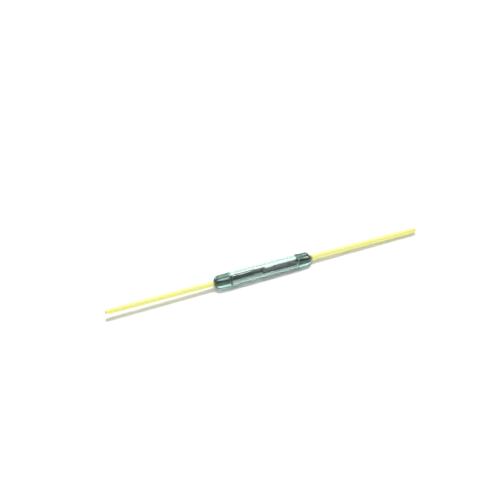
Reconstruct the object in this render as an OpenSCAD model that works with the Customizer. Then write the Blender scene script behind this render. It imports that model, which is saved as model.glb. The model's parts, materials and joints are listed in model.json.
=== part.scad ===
// Glass reed switch, normally open: two reeds sealed into the ends of a green glass tube.
// Sizes are in millimetres. X runs along the switch and the origin is the middle of the glass.
// The blades stand on edge: their flat faces look along Y, and the left one lies behind the right one.

/* [Glass] */
// Length of the glass from end to end
glass_length = 13.6; // [12:0.1:20]
// Outside diameter of the tube
glass_diameter = 2.0; // [2:0.05:2.8]
// Thickness of the tube wall
glass_wall = 0.28; // [0.2:0.01:0.34]
// Length of solid glass that is melted round the left wire
left_seal_length = 2.1; // [1.4:0.1:3]
// Length of solid glass that is melted round the right wire
right_seal_length = 1.7; // [1.4:0.1:3]
// How far the melted glass lies below the surface of the tube
seal_step = 0.03; // [0.01:0.01:0.06]
// How much thinner the melted glass gets towards the end, measured on the radius
seal_taper = 0.03; // [0.01:0.01:0.06]
// Radius of the round rim at each end of the glass
end_rounding = 0.75; // [0.5:0.05:0.9]
// Radius of the round rim at each end of the hollow
hollow_rounding = 0.5; // [0.3:0.05:0.5]

/* [Leads] */
// Diameter of the wire that each reed is made from
wire_diameter = 0.74; // [0.6:0.01:0.74]
// Diameter to which pressing has swelled the wire where it leaves the seal for the hollow
swelled_diameter = 0.77; // [0.75:0.01:0.8]
// Length of each lead outside the glass
lead_length = 15.2; // [4:0.1:25]
// Length of the taper at the cut tip
tip_taper_length = 0.5; // [0.2:0.05:1]
// Diameter that is left at the cut tip
tip_diameter = 0.45; // [0.3:0.01:0.55]

/* [Reed blades] */
// Width of the blade
blade_width = 1.0; // [0.8:0.01:1.1]
// Thickness of the blade
blade_thickness = 0.2; // [0.12:0.01:0.24]
// Length over which the round wire is pressed down to the blade
neck_length = 0.8; // [0.5:0.05:1.2]
// Length of the narrower contact at the free end of the blade
contact_length = 1.5; // [0.8:0.1:2]
// Width of the contact
contact_width = 0.82; // [0.6:0.01:0.95]
// Radius of the corners at the free end
contact_corner = 0.18; // [0.05:0.01:0.25]
// Length over which the two contacts cover each other
contact_overlap = 0.5; // [0.2:0.05:1.2]
// Clear gap between the two contacts while the switch is open
contact_gap = 0.06; // [0.02:0.005:0.1]

/* [Hidden] */

$fn = 96;

glass_end = glass_length / 2;
lead_end = glass_end + lead_length;
tube_radius = glass_diameter / 2;
seal_radius = tube_radius - seal_step;
bead_radius = seal_radius - seal_taper;
bore_radius = tube_radius - glass_wall;
wire_radius = wire_diameter / 2;
swelled_radius = swelled_diameter / 2;

// The two contacts meet in the middle of the hollow, so both blades have the same length
hollow_length = glass_length - left_seal_length - right_seal_length;
blade_length = (hollow_length + contact_overlap) / 2 - neck_length;
// The outer face of a blade lies this far from the middle plane
blade_back = contact_gap / 2 + blade_thickness;

// The ramps of the press clear the round wire by this much at the seal
press_clear = 0.02;

// Inner face of a seal, and the root of the blade that springs from it
function seal_face(seal_length) = glass_end - seal_length;
function blade_root(seal_length) = seal_face(seal_length) - neck_length;

// How far a round rim would run past the place where it meets a wire
function rim_overrun(radius, rounding, wire) =
    let (rise = max(0, wire - (radius - rounding)))
    rounding - sqrt(rounding * rounding - rise * rise);

// In the outlines below x is the radius and y runs along the switch.
// Half outline of a bar with round rims, from one end of the hollow to the other
module hollow_outline(radius, rounding) {
    overrun = rim_overrun(radius, rounding, swelled_radius);
    start = -seal_face(left_seal_length) - overrun;
    length = hollow_length + 2 * overrun;
    intersection() {
        translate([0, start]) square([radius, length]);
        union() {
            translate([0, start]) square([radius - rounding, length]);
            translate([0, start + rounding]) square([radius, length - 2 * rounding]);
            for (centre = [start + rounding, start + length - rounding])
                translate([radius - rounding, centre]) circle(rounding);
        }
    }
}

// Half outline of the glass from the middle to the end of one seal, which is a tapered bead
module bead_outline(seal_length) {
    crown = glass_end + rim_overrun(bead_radius, end_rounding, wire_radius);
    centre = crown - end_rounding;
    intersection() {
        square([seal_radius, crown]);
        union() {
            polygon([
                [0, 0], [seal_radius, 0], [seal_radius, seal_face(seal_length)],
                [bead_radius, centre], [bead_radius - end_rounding, crown], [0, crown]
            ]);
            translate([bead_radius - end_rounding, centre]) circle(end_rounding);
        }
    }
}

// Half outline of one wire from the root of the blade to the cut tip.
// Towards the root it spreads, so that the pressed section reaches the blade's full width.
module wire_outline(seal_length) {
    root = blade_root(seal_length);
    polygon([
        [0, root], [norm([blade_width / 2, blade_back]), root],
        [swelled_radius, seal_face(seal_length)], [wire_radius, glass_end],
        [wire_radius, lead_end - tip_taper_length], [tip_diameter / 2, lead_end], [0, lead_end]
    ]);
}

// The right-hand side is drawn, and turned half round for the left
module at_left() {
    rotate([0, 0, 180]) children();
}

module glass_envelope() {
    color([0.42, 0.66, 0.60, 0.55])
    rotate([0, 90, 0]) rotate_extrude() difference() {
        union() {
            bead_outline(right_seal_length);
            mirror([0, 1]) bead_outline(left_seal_length);
            hollow_outline(tube_radius, seal_step);
        }
        hollow_outline(bore_radius, hollow_rounding);
        wire_outline(right_seal_length);
        mirror([0, 1]) wire_outline(left_seal_length);
    }
}

// Plan of what the press leaves: two ramps from the blade's faces out to the round wire
module press_plan(root, face) {
    ramp_end = swelled_radius + press_clear;
    clear = 2 * ramp_end;
    beyond = lead_end + press_clear;
    polygon([
        [root, -blade_back], [root, -contact_gap / 2], [face, ramp_end], [face, clear],
        [beyond, clear], [beyond, -clear], [face, -clear], [face, -ramp_end]
    ]);
}

// What stays still of one reed: the pressed neck, the wire in the seal and the lead
module lead(seal_length) {
    intersection() {
        rotate([0, 90, 0]) rotate_extrude() wire_outline(seal_length);
        translate([0, 0, -blade_width / 2]) linear_extrude(blade_width)
            press_plan(blade_root(seal_length), seal_face(seal_length));
    }
}

// Plan of the blade: a wide spring, sloped shoulders and a narrower contact with round corners
module blade_plan(root) {
    tip = root - blade_length;
    shoulder = tip + contact_length;
    slope = (blade_width - contact_width) / 2;
    half_spring = blade_width / 2;
    half_contact = contact_width / 2;
    polygon([
        [tip + contact_corner, -half_contact], [shoulder, -half_contact],
        [shoulder + slope, -half_spring], [root, -half_spring],
        [root, half_spring], [shoulder + slope, half_spring],
        [shoulder, half_contact], [tip + contact_corner, half_contact]
    ]);
    translate([tip, contact_corner - half_contact])
        square([2 * contact_corner, contact_width - 2 * contact_corner]);
    for (side = [-1, 1])
        translate([tip + contact_corner, side * (half_contact - contact_corner)])
            circle(contact_corner);
}

// What bends of one reed: it stands half the gap in front of the middle plane
module blade(seal_length) {
    translate([0, -contact_gap / 2, 0]) rotate([90, 0, 0])
        linear_extrude(blade_thickness) blade_plan(blade_root(seal_length));
}

module left_lead() {
    color("khaki") at_left() lead(left_seal_length);
}

module right_lead() {
    color("khaki") lead(right_seal_length);
}

module left_blade() {
    color("silver") at_left() blade(left_seal_length);
}

module right_blade() {
    color("silver") blade(right_seal_length);
}

glass_envelope();
left_lead();
right_lead();
left_blade();
right_blade();
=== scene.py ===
# %% [markdown]
# A glass reed switch is a slim glass tube with a springy metal reed melted into each end.
# The two reeds overlap in the middle of the hollow without touching, until a magnet pulls them together.
# The imported model comes in first. It is the fixed frame that gives every piece its size and its place.

# %% Load the frame
import json
from math import cos, pi, radians, sin, sqrt

import bmesh
import bpy
from mathutils import Matrix, Vector


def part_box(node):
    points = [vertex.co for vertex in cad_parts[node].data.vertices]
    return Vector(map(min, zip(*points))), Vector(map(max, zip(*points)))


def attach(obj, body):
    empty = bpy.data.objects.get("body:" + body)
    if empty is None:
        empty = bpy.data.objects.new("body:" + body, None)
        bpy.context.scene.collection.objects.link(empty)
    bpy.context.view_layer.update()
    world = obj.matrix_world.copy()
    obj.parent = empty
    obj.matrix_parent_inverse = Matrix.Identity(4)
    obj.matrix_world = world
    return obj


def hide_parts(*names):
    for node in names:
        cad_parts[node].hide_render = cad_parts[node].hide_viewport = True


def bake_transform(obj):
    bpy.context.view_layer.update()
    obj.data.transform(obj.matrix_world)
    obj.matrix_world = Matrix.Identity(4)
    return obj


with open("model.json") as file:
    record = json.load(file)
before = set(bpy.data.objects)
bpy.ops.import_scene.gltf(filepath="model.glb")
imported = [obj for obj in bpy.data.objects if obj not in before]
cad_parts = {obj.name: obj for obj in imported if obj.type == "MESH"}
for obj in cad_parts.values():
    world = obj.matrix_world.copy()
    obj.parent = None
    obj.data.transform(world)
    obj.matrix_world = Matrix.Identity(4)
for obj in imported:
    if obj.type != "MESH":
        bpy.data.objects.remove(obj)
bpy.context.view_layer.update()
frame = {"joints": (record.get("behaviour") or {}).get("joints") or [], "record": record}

scene = bpy.context.scene

# %% [markdown]
# Blender works in metres and a switch like this is measured in millimetres, so one short name turns
# one into the other. What the frame knows is read from it: the glass and the reeds from their boxes,
# and the wire and the straight stretch of tube from the mounts.

# %% Sizes that come from the frame
MM = 0.001
mounts = {mount["name"]: mount for mount in frame["record"]["mounts"]}
hinge_x = {joint["child"]: joint["pos_m"][0] for joint in frame["joints"]}
glass_end, *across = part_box("glass_envelope")[1]
tube_radius = min(across)
wire_radius = mounts["right_lead"]["dims"]["r_mm"] * MM
barrel_middle = mounts["glass_barrel"]["pos_m"][0]
barrel_length = mounts["glass_barrel"]["dims"]["length_mm"] * MM
print(f"glass {2000 * glass_end:.1f} mm long and {2000 * tube_radius:.1f} mm thick")

# %% Sizes that the frame doesn't state
seal_step = 0.03 * MM
step_rounding = 0.025 * MM
seal_taper = 0.03 * MM
glass_wall = 0.28 * MM
dome_radius = 0.75 * MM
hollow_rounding = 0.5 * MM
swelled_radius = 0.385 * MM
seal_radius = tube_radius - seal_step
bead_radius = seal_radius - seal_taper
bore_radius = tube_radius - glass_wall
hollow_end = {
    "left": barrel_length / 2 + seal_step - barrel_middle,
    "right": barrel_length / 2 + seal_step + barrel_middle,
}
print({side: f"hollow ends {end / MM:.2f} mm from the middle" for side, end in hollow_end.items()})

# %% [markdown]
# The glass is drawn tube, so its shape is a half outline turned round the long axis.
# The outline is an arch: the outside with a domed bead at each end, then back along the hollow.
# Corner points are enough, because a vertex bevel rounds them into arcs, and a bisect trims the feet
# of the arch just inside the wire. The glass is fused to the wire, so the two surfaces must not
# lie on each other: the glass reaches a hair into the wire, and no gap of air shows in the seal.

# %% A half outline with round corners
ARC_SEGMENTS = 14


def rim_overrun(radius, rounding, wire):
    """How far a round rim runs past the place where it meets a wire."""
    rise = max(0, wire - (radius - rounding))
    return rounding - sqrt(rounding**2 - rise**2)


def rounded_outline(corners):
    """A flat face in the XZ plane from (x, z, rounding) corners."""
    bm = bmesh.new()
    verts = [bm.verts.new((x, 0, z)) for x, z, _ in corners]
    bm.faces.new(verts)
    for vert, (_, _, rounding) in zip(verts, corners):
        if rounding:
            bmesh.ops.bevel(
                bm, geom=[vert], offset=rounding, offset_type="OFFSET", affect="VERTICES",
                segments=ARC_SEGMENTS, profile=0.5, material=-1, clamp_overlap=False,
            )
    return bm


# %% Finish a mesh and make it an object
MERGE_DISTANCE = 1e-8
SHARP_ANGLE = radians(35)


def add_object(name, bm):
    """Closes seams and poles, points the faces outwards and links the object at the origin."""
    bmesh.ops.remove_doubles(bm, verts=bm.verts, dist=MERGE_DISTANCE)
    bmesh.ops.recalc_face_normals(bm, faces=bm.faces)
    mesh = bpy.data.meshes.new(name)
    bm.to_mesh(mesh)
    bm.free()
    mesh.shade_smooth()
    mesh.set_sharp_from_angle(angle=SHARP_ANGLE)
    piece = bpy.data.objects.new(name, mesh)
    scene.collection.objects.link(piece)
    print(name, "has", len(mesh.polygons), "faces")
    return piece


# %% Turn the glass
GLASS_STEPS = 128
FUSED_DEPTH = 0.01 * MM


def glass_corners(side):
    """Corners of one half of the glass, from the middle of the tube to the middle of the hollow."""
    face = hollow_end[side]
    crown = glass_end + rim_overrun(bead_radius, dome_radius, wire_radius)
    hollow_crown = face + rim_overrun(bore_radius, hollow_rounding, swelled_radius)
    return [
        (face, tube_radius, step_rounding),
        (face, seal_radius, 0),
        (crown, bead_radius, dome_radius),
        (crown, 0, 0),
        (hollow_crown, 0, 0),
        (hollow_crown, bore_radius, hollow_rounding),
    ]


def turned_glass():
    left = [(-x, z, rounding) for x, z, rounding in reversed(glass_corners("left"))]
    bm = rounded_outline(glass_corners("right") + left)
    bmesh.ops.bisect_plane(
        bm, geom=bm.verts[:] + bm.edges[:] + bm.faces[:], dist=MERGE_DISTANCE,
        plane_co=(0, 0, wire_radius - FUSED_DEPTH), plane_no=(0, 0, 1), clear_inner=True,
    )
    bmesh.ops.delete(bm, geom=bm.faces[:], context="FACES_ONLY")
    bmesh.ops.spin(
        bm, geom=bm.verts[:] + bm.edges[:], cent=(0, 0, 0), axis=(1, 0, 0),
        angle=2 * pi, steps=GLASS_STEPS, use_merge=True,
    )
    return add_object("green_glass_tube", bm)


glass = turned_glass()

# %% [markdown]
# A reed starts as one piece of nickel-iron wire. The lead stays round, and the inner end is pressed flat
# into a blade with a narrower contact at its tip. So the blade is a flat plan that is extruded and
# gets its pressed edges from a bevel, the wire is a turned profile, and the neck bridges the two.
# The blade's bevel has as many segments as give its end the same number of points as the wire has.

# %% Sizes of a reed
WIRE_STEPS = 32
EDGE_SEGMENTS = WIRE_STEPS // 4 - 1
edge_rounding = 0.02 * MM
flat_border = 0.02 * MM
contact_length = 1.5 * MM
contact_width = 0.82 * MM
contact_corner = 0.18 * MM
tip_taper = 0.5 * MM
tip_radius = 0.225 * MM
tip_rounding = 0.06 * MM
TIP_SEGMENTS = 4
FLAT_ANGLE = radians(4)
NECK_CUTS = 6
NECK_SMOOTHING = 3
SIDES = {"left": -1, "right": 1}

# %% Press the blade
def pressed_blade(root, free_end, low, high):
    """A blade along X with its end at root open; low and high are its corners across the axis."""
    half_width, half_contact = high[2], contact_width / 2
    shoulder = free_end + contact_length
    slope = half_width - half_contact
    upper = [
        (root, half_width, 0),
        (shoulder + slope, half_width, 0),
        (shoulder, half_contact, 0),
        (free_end, half_contact, contact_corner),
    ]
    lower = [(x, -z, rounding) for x, z, rounding in reversed(upper)]
    bm = rounded_outline(upper + lower)
    bmesh.ops.translate(bm, verts=bm.verts, vec=(0, low[1], 0))
    sheet = bmesh.ops.extrude_face_region(bm, geom=bm.faces[:])["geom"]
    lifted = [part for part in sheet if isinstance(part, bmesh.types.BMVert)]
    bmesh.ops.translate(bm, verts=lifted, vec=(0, high[1] - low[1], 0))
    bmesh.ops.recalc_face_normals(bm, faces=bm.faces)
    at_root = {vert for vert in bm.verts if abs(vert.co.x - root) < MERGE_DISTANCE}
    pressed_edges = [
        edge for edge in bm.edges
        if abs(edge.verts[0].co.y - edge.verts[1].co.y) < MERGE_DISTANCE
        and not at_root.issuperset(edge.verts)
    ]
    bmesh.ops.bevel(
        bm, geom=pressed_edges, offset=edge_rounding, offset_type="OFFSET", affect="EDGES",
        segments=EDGE_SEGMENTS, profile=0.5, material=-1,
    )
    flats = [
        face for face in bm.faces
        if abs(face.normal.y) > cos(FLAT_ANGLE) and len(face.verts) > 4
    ]
    bmesh.ops.inset_region(bm, faces=flats, thickness=flat_border, use_even_offset=True)
    end = [face for face in bm.faces if all(abs(v.co.x - root) < MERGE_DISTANCE for v in face.verts)]
    bmesh.ops.delete(bm, geom=end, context="FACES_ONLY")
    return bm


# %% Draw the wire and bridge the neck
def open_ring(bm, x):
    """The edges of an open end at this distance along the reed."""
    return [
        edge for edge in bm.edges
        if edge.is_boundary and all(abs(v.co.x - x) < MERGE_DISTANCE for v in edge.verts)
    ]


def drawn_wire(bm, face, tip):
    """Adds the turned wire from the seal to the cut tip."""
    profile = [
        (face, swelled_radius), (glass_end, wire_radius), (tip - tip_taper, wire_radius),
        (tip, tip_radius), (tip, 0),
    ]
    verts = [bm.verts.new((x, 0, radius)) for x, radius in profile]
    edges = [bm.edges.new(pair) for pair in zip(verts, verts[1:])]
    bmesh.ops.spin(
        bm, geom=verts + edges, cent=(0, 0, 0), axis=(1, 0, 0), angle=2 * pi,
        steps=WIRE_STEPS, use_merge=True,
    )
    bmesh.ops.remove_doubles(bm, verts=bm.verts, dist=MERGE_DISTANCE)
    rim = [
        edge for edge in bm.edges
        if all(abs(v.co.x - tip) < MERGE_DISTANCE and v.co.yz.length > tip_radius / 2 for v in edge.verts)
    ]
    bmesh.ops.bevel(
        bm, geom=rim, offset=tip_rounding, offset_type="OFFSET", affect="EDGES",
        segments=TIP_SEGMENTS, profile=0.5, material=-1,
    )


def bridged_neck(bm, root, face):
    rings = open_ring(bm, root) + open_ring(bm, face)
    faces = bmesh.ops.bridge_loops(bm, edges=rings)["faces"]
    lengthwise = {edge for part in faces for edge in part.edges} - set(rings)
    cut = bmesh.ops.subdivide_edges(bm, edges=list(lengthwise), cuts=NECK_CUTS, use_grid_fill=True)
    inner = [
        part for part in cut["geom_inner"]
        if isinstance(part, bmesh.types.BMVert)
    ]
    for _ in range(NECK_SMOOTHING):
        bmesh.ops.smooth_vert(
            bm, verts=inner, factor=0.5, use_axis_x=False, use_axis_y=True, use_axis_z=True,
        )


# %% Make the two reeds
BEND_BEFORE = 0.3 * MM
BEND_AFTER = 0.9 * MM


def reed(side):
    sign = SIDES[side]
    body = f"{side}_reed"
    root = sign * hinge_x[body]
    tip = max(sign * corner[0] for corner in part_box(f"{side}_lead"))
    low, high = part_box("right_blade")
    free_end = min(sign * corner[0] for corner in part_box(f"{side}_blade"))
    bm = pressed_blade(root, free_end, low, high)
    drawn_wire(bm, hollow_end[side], tip)
    bridged_neck(bm, root, hollow_end[side])
    if side == "left":
        bmesh.ops.rotate(bm, verts=bm.verts, cent=(0, 0, 0), matrix=Matrix.Rotation(pi, 3, "Z"))
    piece = add_object(f"{side}_reed_wire", bm)
    sign * (root + BEND_BEFORE)
    sign * (root - BEND_AFTER)
    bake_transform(piece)
    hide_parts(f"{side}_lead", f"{side}_blade")
    return piece


reeds = {side: reed(side) for side in SIDES}
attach(glass, "capsule")
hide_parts("glass_envelope")

# %% [markdown]
# Shader maths reads best as plain sums. This small class holds one socket of a node tree: adding or
# multiplying two of them adds a Math node, and its node method adds any other kind of node.

# %% A socket that can be used in sums
class Shade:
    """A socket of a node tree, or the bare tree to start from."""

    def __init__(self, tree, socket=None):
        self.tree = tree
        self.socket = socket

    def node(self, kind, settings=None, inputs=None, output=0):
        made = self.tree.nodes.new(kind)
        for name, value in (settings or {}).items():
            setattr(made, name, value)
        for name, value in (inputs or {}).items():
            if isinstance(value, Shade):
                self.tree.links.new(value.socket, made.inputs[name])
            else:
                made.inputs[name].default_value = value
        return Shade(self.tree, made.outputs[output]) if made.outputs else made

    def maths(self, operation, first, second):
        settings = {"operation": operation, "use_clamp": False}
        return self.node("ShaderNodeMath", settings, {0: first, 1: second})

    def __add__(self, other):
        return self.maths("ADD", self, other)

    def __radd__(self, other):
        return self.maths("ADD", other, self)

    def __sub__(self, other):
        return self.maths("SUBTRACT", self, other)

    def __rsub__(self, other):
        return self.maths("SUBTRACT", other, self)

    def __mul__(self, other):
        return self.maths("MULTIPLY", self, other)

    def __rmul__(self, other):
        return self.maths("MULTIPLY", other, self)


# %% Small helpers for patterns
# A Mix node has sockets for numbers, vectors and colours: these are the places of its colours.
MIX_A, MIX_B, MIX_COLOUR = 6, 7, 2


def new_material(name):
    """A material with an empty tree, as a Shade to start from."""
    material = bpy.data.materials.new(name)
    material.use_nodes = True
    material.node_tree.nodes.clear()
    return material, Shade(material.node_tree)


def mixed(mask, first, second):
    """A colour that goes from the first to the second as the mask goes from 0 to 1."""
    settings = {"data_type": "RGBA"}
    return mask.node("ShaderNodeMix", settings, {0: mask, MIX_A: first, MIX_B: second}, MIX_COLOUR)


def step_up(value, start, end):
    """A mask that rises smoothly from 0 to 1 between two places."""
    settings = {"interpolation_type": "SMOOTHSTEP"}
    return value.node("ShaderNodeMapRange", settings, {"Value": value, "From Min": start, "From Max": end})


def streaks(coords, scale, detail=3.0):
    """Noise that is stretched by giving each axis its own scale."""
    place = coords.node("ShaderNodeMapping", None, {"Vector": coords, "Scale": scale})
    return coords.node("ShaderNodeTexNoise", None, {"Vector": place, "Scale": 1.0, "Detail": detail})


def bumped(height, strength, distance):
    return height.node("ShaderNodeBump", None, {"Height": height, "Strength": strength, "Distance": distance})


# %% [markdown]
# The glass is green because it holds iron, which lets it soak up infrared heat while it is melted shut.
# Its colour lies in its depth and not on its surface: thin walls look almost clear, and the solid beads
# look teal. So the surface is clear and a volume absorbs the light. Drawing the tube leaves faint
# lengthwise waves, which a weak bump gives.

# %% Green glass
GLASS_IOR = 1.52
ABSORBED_TINT = (0.20, 0.76, 0.63, 1)
ABSORPTION_PER_METRE = 520
CLEAR = (1.0, 1.0, 1.0, 1)
FAINT_GREEN = (0.97, 1.0, 0.99, 1)
WAVES_PER_METRE = (120, 2600, 2600)
WAVE_STRENGTH = 0.006
HAZE_PER_METRE = (900, 900, 900)
HAZE_ROUGHNESS = 0.01
BUMP_DEPTH = 0.01 * MM


def green_glass():
    material, start = new_material("green_glass")
    coords = start.node("ShaderNodeTexCoord", output="Object")
    waves = streaks(coords, WAVES_PER_METRE, detail=2.0)
    haze = streaks(coords, HAZE_PER_METRE, detail=4.0)
    surface = start.node("ShaderNodeBsdfPrincipled", None, {
        "Base Color": mixed(haze, FAINT_GREEN, CLEAR),
        "Roughness": HAZE_ROUGHNESS * haze,
        "IOR": GLASS_IOR,
        "Transmission Weight": 1.0,
        "Normal": bumped(waves, WAVE_STRENGTH, BUMP_DEPTH),
    })
    volume = start.node("ShaderNodeVolumeAbsorption", None, {
        "Color": ABSORBED_TINT, "Density": ABSORPTION_PER_METRE,
    })
    start.node("ShaderNodeOutputMaterial", None, {"Surface": surface, "Volume": volume})
    return material


glass.data.materials.append(green_glass())
print("glass finish has", len(glass.active_material.node_tree.nodes), "nodes")

# %% [markdown]
# One wire shows several finishes along its length. Outside the glass it is plated with pale gold, whose
# satin surface scatters most of the light, so it is set to be only partly metallic.
# In the seal it is dark with the oxide that the glass sticks to, and where it comes out of the bead the
# heat has browned the plating. The blade is pressed metal with fine rolling lines. Its grey is painted far
# darker than bright bare metal, as painted shade that stands in for the shadowed table it mirrors. Its
# contact is plated, a shade lighter, and is painted dark in the same way. The cut tip is bare. All of this
# depends only on the distance along the reed, so masks on the X coordinate choose between the finishes.

# %% Colours of the metal
GOLD = (0.98, 0.98, 0.35, 1)
GOLD_DEEP = (0.96, 0.95, 0.31, 1)
BROWNED = (0.16, 0.11, 0.05, 1)
OXIDE = (0.15, 0.16, 0.15, 1)
# The blade greys are painted far darker than bright bare metal: painted shade for the shadowed table that the
# blades mirror.
BARE_WITH_PAINTED_SHADE = (0.16, 0.165, 0.16, 1)
BARE_DARK_WITH_PAINTED_SHADE = (0.13, 0.135, 0.13, 1)
CONTACT_PLATE_WITH_PAINTED_SHADE = (0.17, 0.17, 0.165, 1)
CUT_END = (0.33, 0.31, 0.27, 1)

# %% Patterns and limits of the metal
DRAWN_PER_METRE = (160, 9000, 9000)
DRAWN_STRENGTH = 0.03
BLOTCHES_PER_METRE = (700, 1500, 1500)
ROLLED_PER_METRE = (260, 5000, 14000)
BLUR = 0.05 * MM
HEAT_REACH = 0.5 * MM
HEAT_WANDER = 0.25 * MM
PLATE_WANDER = 0.06 * MM
SATIN_SHARE = 0.75
POLISHED, LINED, OXIDISED, SATIN = 0.05, 0.08, 0.2, 0.14


# %% Metal of a reed
def reed_metal(side):
    sign = SIDES[side]
    material, start = new_material(f"{side}_reed_metal")
    coords = start.node("ShaderNodeTexCoord", output="Object")
    along = sign * start.node("ShaderNodeSeparateXYZ", None, {"Vector": coords}, output="X")
    drawn_lines = streaks(coords, DRAWN_PER_METRE)
    blotches = streaks(coords, BLOTCHES_PER_METRE)
    rolled_lines = streaks(coords, ROLLED_PER_METRE)

    tip = max(sign * corner[0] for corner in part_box(f"{side}_lead"))
    free_end = min(sign * corner[0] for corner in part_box(f"{side}_blade"))
    face = hollow_end[side]
    outside = step_up(along, glass_end - BLUR, glass_end + BLUR)
    past_heat = step_up(along + HEAT_WANDER * blotches, glass_end, glass_end + HEAT_REACH)
    at_tip = step_up(along, tip - BLUR, tip - BLUR / 4)
    in_seal = step_up(along, face - BLUR, face + BLUR)
    contact_end = free_end + contact_length
    off_contact = step_up(along + PLATE_WANDER * blotches, contact_end - BLUR, contact_end + BLUR)

    gold = mixed(blotches, GOLD_DEEP, GOLD)
    gold = mixed(past_heat, BROWNED, gold)
    gold = mixed(at_tip, gold, CUT_END)
    # The blade and contact greys here carry painted shade that stands in for the dark reflection of the
    # table.
    bare = mixed(rolled_lines, BARE_DARK_WITH_PAINTED_SHADE, BARE_WITH_PAINTED_SHADE)
    blade = mixed(off_contact, CONTACT_PLATE_WITH_PAINTED_SHADE, bare)
    inside = mixed(in_seal, blade, OXIDE)
    surface = start.node("ShaderNodeBsdfPrincipled", None, {
        "Base Color": mixed(outside, inside, gold),
        "Metallic": 1.0 - SATIN_SHARE * outside,
        "Roughness": POLISHED + LINED * drawn_lines + OXIDISED * in_seal + SATIN * outside,
        "Normal": bumped(drawn_lines, DRAWN_STRENGTH, BUMP_DEPTH),
    })
    start.node("ShaderNodeOutputMaterial", None, {"Surface": surface})
    return material


for side, piece in reeds.items():
    piece.data.materials.append(reed_metal(side))
    print(side, "reed finish has", len(piece.active_material.node_tree.nodes), "nodes")

# %% [markdown]
# The switch lies on a white table, which keeps its shadow. A little glow, which only the camera,
# reflections and the glass can see, lifts the table to full white. The glow fades where the switch covers
# the table closely, which ambient occlusion measures, so the shadow stays dark right under the glass.
# The switch is propped up at its left end, so seen from the switch the table slopes by about a degree.

# %% White table
TABLE_SIZE = 3.0
TABLE_WHITE = (0.85, 0.85, 0.85, 1)
TABLE_GLOW = 0.15
GLOW_REACH = 5 * MM
COVERED, OPEN = 0.4, 0.5
TABLE_SLOPE = 0.018


def seen_rays(start):
    """1 for rays by which a surface is seen: straight, in a reflection or through glass."""
    outputs = start.node("ShaderNodeLightPath").socket.node.outputs
    kinds = ("Is Camera Ray", "Is Glossy Ray", "Is Transmission Ray")
    straight, mirrored, refracted = (Shade(start.tree, outputs[kind]) for kind in kinds)
    return start.node("ShaderNodeClamp", None, {"Value": straight + mirrored + refracted})


def white_table():
    bm = bmesh.new()
    bmesh.ops.create_grid(bm, x_segments=1, y_segments=1, size=TABLE_SIZE / 2)
    height = -tube_radius - TABLE_SLOPE * hollow_end["right"]
    sloped = Matrix(((1, 0, 0, 0), (0, 1, 0, 0), (TABLE_SLOPE, 0, 1, height), (0, 0, 0, 1)))
    bmesh.ops.transform(bm, verts=bm.verts, matrix=sloped)
    table = add_object("white_table", bm)
    material, start = new_material("table_white")
    openness = start.node("ShaderNodeAmbientOcclusion", None, {"Distance": GLOW_REACH}, output="AO")
    glow = seen_rays(start) * step_up(openness, COVERED, OPEN)
    surface = start.node("ShaderNodeBsdfPrincipled", None, {
        "Base Color": TABLE_WHITE, "Roughness": 1.0, "Specular IOR Level": 0.0,
        "Emission Color": glow, "Emission Strength": TABLE_GLOW,
    })
    start.node("ShaderNodeOutputMaterial", None, {"Surface": surface})
    table.data.materials.append(material)


white_table()

# %% [markdown]
# Three lamps light the switch. One hangs overhead, a little behind it, and casts the shadow towards the
# camera. A panel further back shows only in reflections, as the light band along the top of the glass.
# A weaker lamp at the front lights the lower half of the leads. The overhead and the front lamp are kept
# out of reflections, so that no second stripe crosses the blades. The room is grey, and darker overhead.

# %% Camera direction
AZIMUTH = radians(-19.45)
ELEVATION = radians(48.6)
to_camera = Vector((sin(AZIMUTH) * cos(ELEVATION), -cos(AZIMUTH) * cos(ELEVATION), sin(ELEVATION)))
camera_right = Vector((cos(AZIMUTH), sin(AZIMUTH), 0))
camera_up = to_camera.cross(camera_right)
print("direction to the camera:", [round(number, 3) for number in to_camera])

# %% Lamps and room light
LAMP_DISTANCE = 0.4
WALL_LIGHT = 0.5
CEILING_LIGHT = 0.05


def soft_lamp(name, tilt, size, share):
    """A square lamp that faces the switch. Its tilt is from straight overhead, away from the camera.

    A share of 1 would light a white surface that faces the lamp to full white.
    """
    lamp = bpy.data.lights.new(name, "AREA")
    lamp.shape = "SQUARE"
    lamp.size = size
    lamp.energy = share * pi**2 * LAMP_DISTANCE**2
    away = Vector((-to_camera.x, -to_camera.y, 0)).normalized()
    direction = Vector((0, 0, cos(tilt))) + away * sin(tilt)
    holder = bpy.data.objects.new(name, lamp)
    holder.location = direction * LAMP_DISTANCE
    holder.rotation_euler = direction.to_track_quat("Z", "Y").to_euler()
    scene.collection.objects.link(holder)
    return holder


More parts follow.
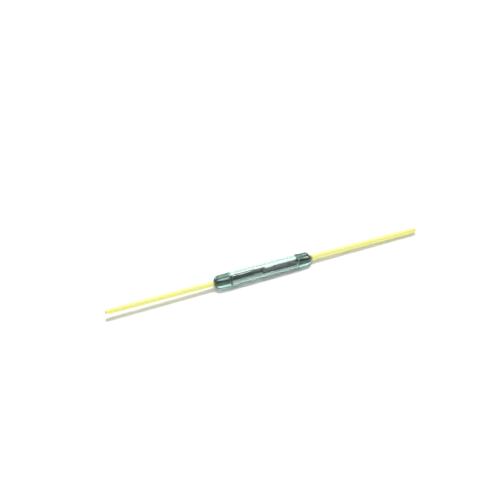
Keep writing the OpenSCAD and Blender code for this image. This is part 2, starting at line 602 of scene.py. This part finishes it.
def room_light():
    world = bpy.data.worlds.new("room")
    world.use_nodes = True
    world.node_tree.nodes.clear()
    start = Shade(world.node_tree)
    direction = start.node("ShaderNodeTexCoord")
    height = start.node("ShaderNodeSeparateXYZ", None, {"Vector": direction}, output="Z")
    walls = start.node("ShaderNodeMapRange", None, {
        "Value": height, "From Min": 0.0, "From Max": 1.0, "To Min": WALL_LIGHT, "To Max": CEILING_LIGHT,
    })
    room = start.node("ShaderNodeBackground", None, {"Color": walls})
    start.node("ShaderNodeOutputWorld", None, {"Surface": room})
    scene.world = world


overhead = soft_lamp("overhead_lamp", tilt=radians(5), size=0.13, share=0.95)
overhead.visible_glossy = False
front = soft_lamp("front_lamp", tilt=radians(-30), size=0.14, share=0.16)
front.visible_glossy = False
panel = soft_lamp("back_panel", tilt=radians(36), size=0.36, share=0.5)
panel.visible_diffuse = False
room_light()
print("lamps:", sorted(light.name for light in bpy.data.lights))

# %% [markdown]
# The photograph has almost no perspective, so a long lens stands well back. The camera is moved sideways
# until the middle of the glass falls on its place in the picture, which needs no lens shift.

# %% Camera
PICTURE_PIXELS = 500
PIXELS_PER_MM = 7.48
SENSOR = 0.036
LENS = 0.2
MIDDLE_PIXEL = (262.3, 270.6)


def place_camera():
    data = bpy.data.cameras.new("camera")
    data.sensor_width = SENSOR / MM
    data.lens = LENS / MM
    pixel = MM / PIXELS_PER_MM
    distance = LENS * PICTURE_PIXELS * pixel / SENSOR
    right = (PICTURE_PIXELS / 2 - MIDDLE_PIXEL[0]) * pixel
    up = (MIDDLE_PIXEL[1] - PICTURE_PIXELS / 2) * pixel
    camera = bpy.data.objects.new("camera", data)
    camera.location = to_camera * distance + camera_right * right + camera_up * up
    camera.rotation_euler = to_camera.to_track_quat("Z", "Y").to_euler()
    scene.collection.objects.link(camera)
    scene.camera = camera
    print(f"camera stands {distance:.3f} m away")


place_camera()

# %% [markdown]
# Last, colours are shown as they are.

# %% Finish
scene.view_settings.view_transform = "Standard"
